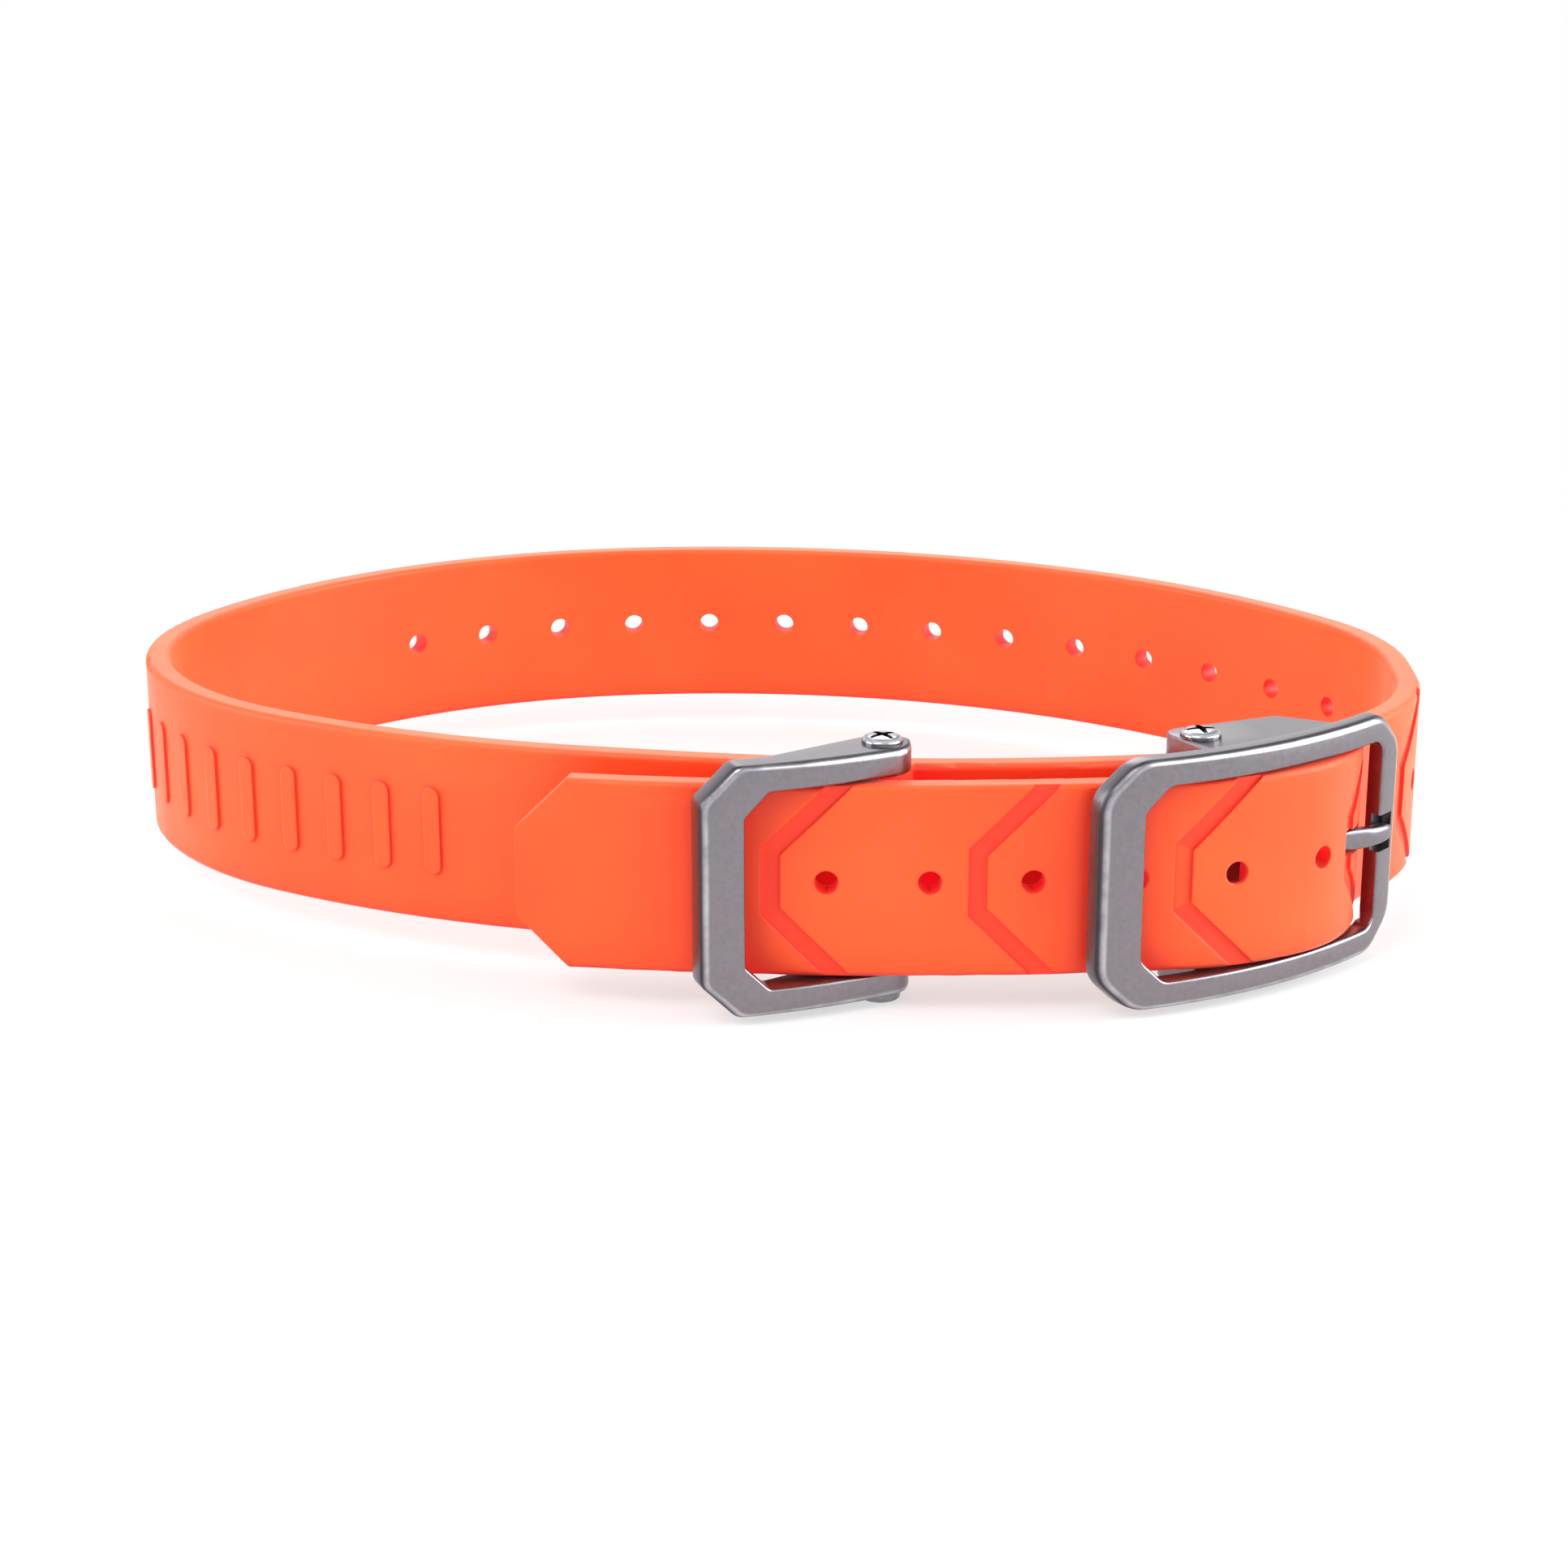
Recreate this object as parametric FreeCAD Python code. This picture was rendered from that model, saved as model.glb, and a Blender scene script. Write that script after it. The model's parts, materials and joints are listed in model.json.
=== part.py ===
import FreeCAD, Part
import math
import os

# A one-inch moulded dog collar, buckled. One flexible strap runs from the eye at the buckle pin round
# the neck, inside the buckle's right bar, out through its window, inside its left bar and through a
# C-shaped keeper to its tip. Millimetres and degrees. +Z is up, across the strap's width, +X is to the
# right and +Y to the back. The front lap, with the buckle and the keeper, is at -Y.

# ---- strap section
strap_width = 25.4
strap_thick = 3.5
strap_edge_round = 0.8

# ---- strap line, as (radius, left turn) arcs that follow on from the tip of the tail
tail_heading = -10.1
tail_arcs = [(281.0, 17.0), (41.0, 26.4), (18.4, 52.3), (-13.2, -40.4)]
right_side_arcs = [(33.8, 41.4)]
round_the_neck_arcs = [(40.0, 35.0), (104.6, 22.2), (114.0, 42.8), (80.6, 59.3), (39.8, 49.9),
                       (52.6, 31.8), (130.0, 21.4)]
front_lap_arc = (181.7, 21.6)
neck_scale = 1.0

# ---- strap tip
tip_flat = 11.6
tip_chamfer = 6.9

# ---- adjusting holes and the grooves between them
hole_dia = 3.1
hole_first = 39.5
hole_pitch = 13.0
hole_count = 25
groove_width = 2.4
groove_from_hole = 7.0
groove_depth = 0.5
groove_flat = 8.0
groove_every = 2

# ---- plain raised ribs on the front left
rib_count = 9
rib_pitch = 7.5
rib_width = 2.4
rib_height = 12.0
rib_rise = 0.4
rib_from_keeper = 60.0

# ---- pins and screws
pin_dia = 3.0
pin_play = 0.05
head_dia = 5.3
head_thick = 1.1
screw_dia = 2.0
screw_play = 0.02
screw_length = 8.0
head_round = 0.3
tap_run_out = 0.5
recess_width = 0.8
recess_span = 3.4
recess_depth = 0.6

# ---- moulded eyes that hold the pins between the base strap and the tail
eye_wall = 1.1
eye_rise = 3.0
eye_flare = 1.6
lap_gap = 0.3
keeper_pin_station = 46.5
buckle_pin_station = 88.4

# ---- metal bars that pass above and below the strap
bar_gap = 0.3
bar_height = 3.6
bar_edge_round = 0.45
corner_outer = 4.6
corner_inner = 3.2
corner_inner_right = 1.3

# ---- buckle frame
buckle_span = 49.9
buckle_inner_radius = 72.3
buckle_thick = 2.8
buckle_left_bar = 5.6
buckle_right_bar = 4.3
buckle_heading = 32.6
buckle_corner_station = 80.7
buckle_bar_gap = 0.4
right_bar_relief = 1.2
relief_lean = 1.5
lug_reach = 4.8
lug_left = 2.8
lug_right = 14.6
lug_right_reach = 2.4
lug_merge = 5.0
lug_round = 1.4

# ---- groove in the right bar for the prong's tip
rest_height = 5.1
rest_length = 2.9
rest_depth = 1.5

# ---- prong
prong_thick = 1.9
prong_height = 3.0
prong_hub_height = 4.0
prong_play = 0.3
prong_tip_gap = 0.5
prong_tip_round = 0.75
prong_knee_lead = 1.0
prong_outward_room = 1.3
prong_inward_room = 0.7

# ---- keeper
keeper_span = 29.2
keeper_outer_radius = 80.0
keeper_bar = 5.6
keeper_thick = 3.8
keeper_gap = 0.4
keeper_end_round = 3.7
keeper_web_extra = 0.6

# ---- worked out
half_width = strap_width / 2
half_thick = strap_thick / 2
eye_radius = pin_dia / 2 + pin_play + eye_wall
bar_low = half_width + bar_gap
bar_top = bar_low + bar_height
head_low = bar_top
bore_radius = pin_dia / 2 + pin_play
halvings = 40
up = FreeCAD.Vector(0, 0, 1)


def vec(x, y, z=0.0):
    return FreeCAD.Vector(x, y, z)


def along(heading):
    """Unit vector in plan at a heading."""
    return vec(math.cos(math.radians(heading)), math.sin(math.radians(heading)))


def inward(heading):
    """Unit vector in plan to the left of a heading, which is the neck side."""
    return along(heading + 90)


def prism(points, direction):
    """A closed flat outline carried along a direction."""
    return Part.Face(Part.makePolygon(points + points[:1])).extrude(direction)


def on_arc(radius, x):
    """How far a point of an arc, x to one side of its middle, lies in front of its centre."""
    return math.sqrt(radius ** 2 - x ** 2)


class Line:
    """The strap's line in plan: tangent straight runs and arcs, measured from the tail's tip."""

    def __init__(self, start, heading):
        self.pieces = []
        self.end = start
        self.heading = heading
        self.length = 0.0

    def straight(self, length):
        self.pieces.append((self.length, length, self.end, self.heading, None))
        self.end = self.end + along(self.heading) * length
        self.length += length

    def arc(self, radius, turn):
        length = math.radians(turn) * radius
        self.pieces.append((self.length, length, self.end, self.heading, radius))
        centre = self.end + inward(self.heading) * radius
        self.heading += turn
        self.end = centre - inward(self.heading) * radius
        self.length += length

    def at(self, station):
        """Point and heading at a distance from the tip."""
        for first, length, start, heading, radius in self.pieces:
            if station <= first + length:
                break
        run = station - first
        if radius is None:
            return start + along(heading) * run, heading
        turned = heading + math.degrees(run / radius)
        return start + (inward(heading) - inward(turned)) * radius, turned

    def wire(self):
        edges = []
        for first, length, start, _, radius in self.pieces:
            middle = self.at(first + length / 2)[0]
            end = self.at(first + length)[0]
            if radius is None:
                edges.append(Part.LineSegment(start, end).toShape())
            else:
                edges.append(Part.Arc(start, middle, end).toShape())
        return Part.Wire(edges)


def tail_point(station, depth):
    """A point to the neck side of the tail's line, by a depth."""
    point, heading = tail.at(station)
    return point + inward(heading) * depth


def frame_point(centre, heading, x, y, z=0.0):
    """A point given along and inward of a curved metal frame's own axes."""
    return centre + along(heading) * x + inward(heading) * y + up * z


# ---- places that tie the metal to the strap
tail = Line(vec(0, 0), tail_heading)
for radius, turn in tail_arcs:
    tail.arc(radius, turn)

pin_depth = half_thick + lap_gap + eye_radius
keeper_pin_at = tail_point(keeper_pin_station, pin_depth)
buckle_pin_at = tail_point(buckle_pin_station, pin_depth)

window_left = -buckle_span / 2 + buckle_left_bar
window_right = buckle_span / 2 - buckle_right_bar
buckle_outer_radius = buckle_inner_radius + buckle_thick
corner_x = window_left + corner_inner
corner_at = tail_point(buckle_corner_station, -half_thick - buckle_bar_gap)
buckle_centre = corner_at - along(buckle_heading) * corner_x \
    + inward(buckle_heading) * on_arc(buckle_inner_radius, corner_x)


keeper_inner_radius = keeper_outer_radius - keeper_thick
keeper_bar_end = -keeper_span / 2 + keeper_bar
keeper_web_end = keeper_bar_end + corner_inner + keeper_web_extra
keeper_pin_x = keeper_span / 2 - keeper_end_round
keeper_pin_y = -on_arc(keeper_outer_radius - keeper_end_round, keeper_pin_x)


def keeper_lean():
    """The keeper's heading, at which the web beside its bar clears the tail's first, long arc."""
    radius = tail_arcs[0][0]
    to_centre = inward(tail_heading) * radius - keeper_pin_at
    corner = vec(keeper_web_end, -on_arc(keeper_inner_radius, keeper_web_end))
    to_corner = corner - vec(keeper_pin_x, keeper_pin_y)
    far = radius + half_thick + keeper_gap
    near, reach = to_centre.Length, to_corner.Length
    between = math.acos((near ** 2 + reach ** 2 - far ** 2) / (2 * near * reach))
    return math.degrees(math.atan2(to_centre.y, to_centre.x) + between
                        - math.atan2(to_corner.y, to_corner.x)) % 360


keeper_heading = keeper_lean()


def buckle_point(x, y, z=0.0):
    return frame_point(buckle_centre, buckle_heading, x, y, z)


def buckle_local(point):
    """x along and y inward of the buckle's arc centre."""
    rel = point - buckle_centre
    return rel.dot(along(buckle_heading)), rel.dot(inward(buckle_heading))


pin_x, pin_y = buckle_local(buckle_pin_at)

# ---- the strap's whole line, closed on the buckle pin by one run at the side and one at the front
base_rise = eye_rise + half_thick


def whole_line(side_run, front_run):
    line = Line(vec(0, 0), tail_heading)
    for radius, turn in tail_arcs:
        line.arc(radius, turn)
    for radius, turn in right_side_arcs:
        line.arc(radius * neck_scale, turn)
    side_heading = line.heading
    line.straight(side_run)
    for radius, turn in round_the_neck_arcs:
        line.arc(radius * neck_scale, turn)
    front_heading = line.heading
    line.straight(front_run)
    line.arc(*front_lap_arc)
    return line, side_heading, front_heading


def closed_line():
    trial, side_heading, front_heading = whole_line(0.0, 0.0)
    foot = buckle_pin_at + inward(trial.heading) * base_rise + along(trial.heading) * eye_radius
    miss = foot - trial.end
    side, front = along(side_heading), along(front_heading)
    cross = side.x * front.y - side.y * front.x
    side_run = (miss.x * front.y - miss.y * front.x) / cross
    front_run = (side.x * miss.y - side.y * miss.x) / cross
    return whole_line(side_run, front_run)[0]


strap_line = closed_line()


def nearest_station(point, low, high):
    """The station of the strap's line nearest to a point."""
    for _ in range(halvings):
        middle = (low + high) / 2
        at, heading = strap_line.at(middle)
        if (point - at).dot(along(heading)) > 0:
            low = middle
        else:
            high = middle
    return low


keeper_foot = nearest_station(keeper_pin_at, strap_line.length - 80, strap_line.length)


# ---- strap

def band(inner, outer, half_height, rounding):
    """A strip along the whole strap, between two depths measured outward from its line."""
    point, heading = strap_line.at(0)
    out = inward(heading) * -1
    r = rounding
    corners = [(inner, -half_height), (outer, -half_height), (outer, half_height), (inner, half_height)]
    if r:
        section = rounded_outline([point + out * d + up * z for d, z in corners], r)
    else:
        section = Part.makePolygon([point + out * d + up * z for d, z in corners + corners[:1]])
    pipe = Part.BRepOffsetAPI.MakePipeShell(strap_line.wire())
    pipe.setBiNormalMode(up)
    pipe.add(section)
    pipe.build()
    pipe.makeSolid()
    return pipe.shape()


def rounded_outline(corners, radius):
    """A closed wire of straight sides with every corner rounded."""
    edges = []
    last = None
    count = len(corners)
    for i in range(count):
        before, corner, after = corners[i - 1], corners[i], corners[(i + 1) % count]
        back = (before - corner).normalize()
        on = (after - corner).normalize()
        half_turn = back.getAngle(on) / 2
        reach = radius / math.tan(half_turn)
        bisector = (back + on).normalize()
        middle = corner + bisector * (radius / math.sin(half_turn) - radius)
        start, end = corner + back * reach, corner + on * reach
        if last is None:
            first = start
        else:
            edges.append(Part.LineSegment(last, start).toShape())
        edges.append(Part.Arc(start, middle, end).toShape())
        last = end
    edges.append(Part.LineSegment(last, first).toShape())
    return Part.Wire(edges)


def across_strap(station, outline):
    """A prism through the strap at a station: outline points are (along the strap, height)."""
    point, heading = strap_line.at(station)
    deep = 3 * strap_thick
    back = point + inward(heading) * deep / 2
    points = [back + along(heading) * a + up * z for a, z in outline]
    return prism(points, inward(heading) * -deep)


def tip_cutters():
    """The two corners cut from the tail's tip."""
    over = 1.0
    low = tip_flat / 2
    cutters = []
    for side in (-1, 1):
        outline = [(-over, side * (low - over)), (-over, side * (half_width + over)),
                   (tip_chamfer + over, side * (half_width + over))]
        cutters.append(across_strap(0, outline))
    return cutters


def hole_stations():
    stations = [hole_first + hole_pitch * i for i in range(hole_count)]
    return [s for s in stations if abs(s - prong_station) > hole_pitch / 2]


def hole_cutter(station):
    point, heading = strap_line.at(station)
    deep = 3 * strap_thick
    return Part.makeCylinder(hole_dia / 2, deep, point - inward(heading) * deep / 2, inward(heading))


def groove_cutter(station):
    """A groove with an upright run and two 45 degree arms that lead away from the tip."""
    half = groove_width / 2
    mitre = half * math.tan(math.radians(22.5))
    flat = groove_flat / 2
    reach = half_width - flat + groove_width
    upper = [(-half, flat + mitre), (reach - half, flat + mitre + reach),
             (reach + half, flat - mitre + reach), (half, flat - mitre)]
    lower = [(a, -z) for a, z in reversed(upper)]
    return across_strap(station, upper + lower)


def rib(station):
    """An upright raised bar with rounded ends."""
    point, heading = strap_line.at(station)
    out = inward(heading) * -1
    side = rib_width / 2
    straight = rib_height / 2 - side
    body = across_strap(station, [(-side, -straight), (side, -straight), (side, straight), (-side, straight)])
    ends = [Part.makeCylinder(side, 3 * strap_thick, point - out * 1.5 * strap_thick + up * z, out)
            for z in (-straight, straight)]
    return body.multiFuse(ends)


def eye(pin_at, station):
    """A moulded eye that stands on the base strap's outer face."""
    point, heading = strap_line.at(station)
    out = inward(heading) * -1
    ahead = along(heading)
    down = up * -half_width
    foot = point + out * (half_thick / 2)
    flare = eye_radius + eye_flare
    far = min(flare, strap_line.length - station)
    web = prism([pin_at - ahead * eye_radius + down, pin_at + ahead * eye_radius + down,
                 foot + ahead * far + down, foot - ahead * flare + down], up * strap_width)
    ring = Part.makeCylinder(eye_radius, strap_width, pin_at + down, up)
    return web.fuse(ring)


def pin_hole(pin_at, radius):
    return Part.makeCylinder(radius, 2 * bar_top, pin_at - up * bar_top, up)


def hub_room():
    """The slot in the middle of the buckle eye, for the prong's hub."""
    high = prong_hub_height + 2 * prong_play
    low = up * (-high / 2)
    room = Part.makeCylinder(eye_radius + prong_play, high, buckle_pin_at + low, up)
    heading = strap_line.at(strap_line.length)[1]
    out = inward(heading) * -1
    start = buckle_pin_at - out * (eye_rise - prong_play / 3) + low
    wide = eye_radius + eye_flare + 1
    ahead = along(heading)
    deep = 2 * eye_radius + eye_rise
    points = [start - ahead * wide, start + ahead * wide,
              start + ahead * wide + out * deep, start - ahead * wide + out * deep]
    return room.fuse(prism(points, up * high))


def prong_slot():
    """The hole that the prong has drawn out: it follows the prong and its play."""
    side = inward(prong_heading)
    ahead = along(prong_heading)
    outer = prong_thick / 2 + prong_outward_room
    inner = prong_thick / 2 + prong_inward_room
    high = prong_height + 2 * prong_play
    middle = strap_line.at(prong_station)[0]
    deep = 4 * strap_thick
    start = middle - ahead * deep / 2 - up * (high / 2)
    points = [start - side * outer, start + ahead * deep - side * outer,
              start + ahead * deep + side * inner, start + side * inner]
    return prism(points, up * high)


def make_strap():
    body = band(-half_thick, half_thick, half_width, strap_edge_round)
    body = body.multiFuse([eye(keeper_pin_at, keeper_foot), eye(buckle_pin_at, buckle_foot)])
    skin = band(half_thick - groove_depth, half_thick + 1, half_width + 1, 0)
    first_groove = hole_first - groove_from_hole
    groove_pitch = groove_every * hole_pitch
    grooves = [groove_cutter(first_groove + groove_pitch * i)
               for i in range((hole_count + 1) // groove_every)]
    grooves = [g.common(skin) for g in grooves]
    ridge = band(half_thick - rib_rise, half_thick + rib_rise, half_width, 0)
    first_rib = keeper_foot - rib_from_keeper
    ribs = [rib(first_rib - rib_pitch * i).common(ridge) for i in range(rib_count)]
    body = body.multiFuse(ribs)
    cuts = tip_cutters() + [hole_cutter(s) for s in hole_stations()] + grooves
    cuts += [pin_hole(keeper_pin_at, bore_radius), pin_hole(buckle_pin_at, bore_radius)]
    cuts += [hub_room(), prong_slot()]
    return body.cut(cuts)


# ---- curved metal frames

def side_outline(left, right, open_right):
    """Outline of a frame seen from the front, with its outer corners cut: (along, height) points."""
    c = corner_outer
    t = bar_top
    if open_right:
        return [(left, c - t), (left + c, -t), (right, -t), (right, t), (left + c, t), (left, t - c)]
    return [(left, c - t), (left + c, -t), (right - c, -t), (right, c - t),
            (right, t - c), (right - c, t), (left + c, t), (left, t - c)]


def window_outline(left, right, open_right):
    """Outline of the room inside a frame, with its own smaller corners."""
    c = corner_inner
    d = corner_inner_right
    t = bar_low
    if open_right:
        return [(left, c - t), (left + c, -t), (right, -t), (right, t), (left + c, t), (left, t - c)]
    return [(left, c - t), (left + c, -t), (right - d, -t), (right, d - t),
            (right, t - d), (right - d, t), (left + c, t), (left, t - c)]


def front_prism(centre, heading, outline, near, far):
    """A front outline carried from one depth to another."""
    points = [frame_point(centre, heading, a, near, z) for a, z in outline]
    return prism(points, inward(heading) * (far - near))


def shell(centre, inner, outer):
    """An upright ring about an arc centre, as tall as a frame."""
    low = centre - up * bar_top
    return Part.makeCylinder(outer, 2 * bar_top, low, up).cut(Part.makeCylinder(inner, 2 * bar_top, low, up))


def is_corner(shape, edge):
    """Whether the two faces at an edge meet at an angle."""
    middle = edge.valueAt((edge.FirstParameter + edge.LastParameter) / 2)
    one, other = [f.normalAt(*f.Surface.parameter(middle)) for f in shape.ancestorsOfType(edge, Part.Face)]
    return one.cross(other).Length > 0.1


def round_front(shape, centre, radius, level_too=True):
    """Round the edges that bound the outer curved face, the level ones along its arms among them or not."""
    edges = []
    for face in shape.Faces:
        surface = face.Surface
        if isinstance(surface, Part.Cylinder) and abs(surface.Radius - radius) < 1e-6:
            if (vec(surface.Center.x, surface.Center.y) - centre).Length < 1e-6:
                edges += [e for e in face.Edges if is_corner(shape, e)]
    if not level_too:
        edges = [e for e in edges if e.BoundBox.ZLength > bar_edge_round]
    return shape.makeFillet(bar_edge_round, edges)


def lug_outline():
    """Plan of a lug, from inside the frame's thickness round the pin: (along, inward) points."""
    root = buckle_inner_radius + buckle_thick / 2
    left, right = pin_x - lug_left, pin_x + lug_right
    rear = pin_y + lug_reach
    merge = right + lug_merge
    return [(left, -on_arc(root, left)), (left, rear - lug_round), (left + lug_round, rear),
            (right, pin_y + lug_right_reach), (merge, -on_arc(root, merge))]


def make_buckle_frame():
    left, right = -buckle_span / 2, buckle_span / 2
    near = -buckle_outer_radius - 1
    far = pin_y + lug_reach + 1
    body = front_prism(buckle_centre, buckle_heading, side_outline(left, right, False), near, far)
    body = body.common(shell(buckle_centre, buckle_inner_radius, buckle_outer_radius))
    lugs = [prism([buckle_point(a, y, -bar_top) for a, y in lug_outline()], up * 2 * bar_top)]
    body = body.fuse(lugs)
    window = window_outline(window_left, window_right, False)
    body = body.cut(front_prism(buckle_centre, buckle_heading, window, near, far))
    body = body.removeSplitter()
    body = round_front(body, buckle_centre, buckle_outer_radius)
    return body.cut([pin_hole(buckle_pin_at, bore_radius), tip_rest(), bar_relief()])


def tip_rest():
    """The groove in the right bar that the prong's tip lies in."""
    floor = buckle_outer_radius - rest_depth
    half = rest_height / 2
    edge = window_right - prong_knee_lead
    end = window_right + rest_length
    outline = [(edge, -half), (end, -half), (end, half), (edge, half)]
    block = front_prism(buckle_centre, buckle_heading, outline, -buckle_outer_radius - 1, 0)
    return block.common(shell(buckle_centre, floor, buckle_outer_radius + 1))


def bar_relief():
    """The bevel inside the right bar's window edge, where the strap turns in behind it."""
    x = window_right
    y = -on_arc(buckle_inner_radius, x)
    r = right_bar_relief
    points = [buckle_point(x - r, y - r * relief_lean, -bar_low), buckle_point(x + r, y + r, -bar_low),
              buckle_point(x + r, y + 2 * r, -bar_low), buckle_point(x - r, y + 2 * r, -bar_low)]
    return prism(points, up * 2 * bar_low)


def make_pin(pin_at):
    """A post with a head below, tapped from the top for its screw."""
    play = pin_play / 2
    shank = Part.makeCylinder(pin_dia / 2, 2 * bar_top - play, pin_at - up * bar_top, up)
    head = Part.makeCylinder(head_dia / 2, head_thick, pin_at - up * (head_low + head_thick), up)
    head = head.makeFillet(head_round, [head.Edges[2]])
    deep = screw_length + tap_run_out
    tapped = Part.makeCylinder(screw_dia / 2 + screw_play, deep, pin_at + up * (bar_top - deep), up)
    return shank.fuse(head).cut(tapped)


def make_screw(pin_at):
    """The screw in the top of a post, with a cross recess."""
    head = Part.makeCylinder(head_dia / 2, head_thick, pin_at + up * head_low, up)
    head = head.makeFillet(head_round, [head.Edges[0]])
    shank = Part.makeCylinder(screw_dia / 2, screw_length, pin_at + up * (bar_top - screw_length), up)
    top = head_low + head_thick - recess_depth
    slots = []
    for a, b in ((recess_span, recess_width), (recess_width, recess_span)):
        slots.append(Part.makeBox(a, b, recess_depth + 1, pin_at + vec(-a / 2, -b / 2, top)))
    return head.fuse(shank).cut(slots)


# ---- prong

tip_radius = buckle_outer_radius - rest_depth + prong_play + prong_thick / 2


def tip_point(x):
    """A point of the prong's line where it lies on the right bar."""
    return buckle_point(x, -on_arc(tip_radius, x))


prong_knee = tip_point(window_right - prong_knee_lead)
prong_end = tip_point(window_right + rest_length - prong_tip_gap)
shank_run = prong_knee - buckle_pin_at
prong_heading = math.degrees(math.atan2(shank_run.y, shank_run.x))
tip_heading = math.degrees(math.atan2(prong_end.y - prong_knee.y, prong_end.x - prong_knee.x))


def crossing():
    """The station where the prong's straight shank goes through the strap."""
    side = inward(prong_heading)
    low, high = buckle_pin_station, tail.length
    for _ in range(halvings):
        middle = (low + high) / 2
        if (tail.at(middle)[0] - buckle_pin_at).dot(side) < 0:
            low = middle
        else:
            high = middle
    return low


prong_station = crossing()
buckle_foot = strap_line.length - eye_radius


def make_prong():
    half = prong_thick / 2
    low = up * (-prong_height / 2)
    bend = inward((prong_heading + tip_heading) / 2) * (half / math.cos(
        math.radians((tip_heading - prong_heading) / 2)))
    shank_side, tip_side = inward(prong_heading) * half, inward(tip_heading) * half
    points = [buckle_pin_at - shank_side, prong_knee - bend, prong_end - tip_side,
              prong_end + tip_side, prong_knee + bend, buckle_pin_at + shank_side]
    body = prism([p + low for p in points], up * prong_height)
    upright = [e for e in body.Edges if abs(e.Vertexes[0].Z - e.Vertexes[-1].Z) > prong_height / 2
               and (vec(e.Vertexes[0].X, e.Vertexes[0].Y) - prong_end).Length < prong_thick]
    body = body.makeFillet(prong_tip_round, upright)
    hub = Part.makeCylinder(eye_radius, prong_hub_height, buckle_pin_at - up * prong_hub_height / 2, up)
    return body.fuse(hub).cut(pin_hole(buckle_pin_at, bore_radius))


# ---- keeper

def make_keeper_loop():
    """A C of metal: an upright bar in front of the tail and two arms that lead back to the pin."""
    outer = keeper_outer_radius
    inner = keeper_inner_radius
    middle = keeper_span / 2
    left = -middle
    bar_end, web_end = keeper_bar_end, keeper_web_end
    pin_x, pin_y = keeper_pin_x, keeper_pin_y
    centre = keeper_pin_at - along(keeper_heading) * pin_x - inward(keeper_heading) * pin_y

    def point(x, y):
        return frame_point(centre, keeper_heading, x, y, -bar_top)

    lean = math.atan2(pin_x, -pin_y)
    round_x, round_y = keeper_end_round * math.sin(lean), keeper_end_round * math.cos(lean)
    front_end = point(pin_x + round_x, pin_y - round_y)
    tip = point(pin_x + round_y, pin_y + round_x)
    rear_end = point(pin_x - round_x, pin_y + round_y)
    plan = Part.Wire([
        Part.Arc(point(left, -on_arc(outer, left)), point(0, -outer), front_end).toShape(),
        Part.Arc(front_end, tip, rear_end).toShape(),
        Part.LineSegment(rear_end, point(web_end, -on_arc(inner, web_end))).toShape(),
        Part.Arc(point(web_end, -on_arc(inner, web_end)), point(bar_end, -on_arc(inner, bar_end)),
                 point(left, -on_arc(inner, left))).toShape(),
        Part.LineSegment(point(left, -on_arc(inner, left)), point(left, -on_arc(outer, left))).toShape(),
    ])
    body = Part.Face(plan).extrude(up * 2 * bar_top)
    near, far = -outer - 1, pin_y + 2 * keeper_end_round
    outside = side_outline(left, middle + 1, True)
    body = body.common(front_prism(centre, keeper_heading, outside, near, far))
    body = round_front(body, centre, outer, False)
    window = window_outline(bar_end, middle + 2, True)
    body = body.cut(front_prism(centre, keeper_heading, window, near, far))
    return body.cut(pin_hole(keeper_pin_at, bore_radius))


# ---- nodes, moved so that the origin is under the middle of the object

nodes = {
    "strap": make_strap(),
    "buckle_frame": make_buckle_frame(),
    "buckle_prong": make_prong(),
    "buckle_pin": make_pin(buckle_pin_at),
    "buckle_screw": make_screw(buckle_pin_at),
    "keeper_loop": make_keeper_loop(),
    "keeper_pin": make_pin(keeper_pin_at),
    "keeper_screw": make_screw(keeper_pin_at),
}

box = FreeCAD.BoundBox()
for shape in nodes.values():
    box.add(shape.optimalBoundingBox(False))
origin = vec(box.Center.x, box.Center.y, box.ZMin)

os.makedirs("parts", exist_ok=True)
for name, shape in nodes.items():
    shape.translate(origin * -1)
    shape.exportStep("parts/" + name + ".step")
    print(name, "solids", len(shape.Solids), "volume", round(shape.Volume, 2), "valid", shape.isValid())
print("size", round(box.XLength, 2), round(box.YLength, 2), round(box.ZLength, 2))
print("keeper heading", round(keeper_heading, 2))
print("strap length", round(strap_line.length, 1), "prong at", round(prong_station, 1))
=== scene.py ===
import json
import math

import bmesh
import bpy
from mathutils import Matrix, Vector
from mathutils.bvhtree import BVHTree


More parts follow.
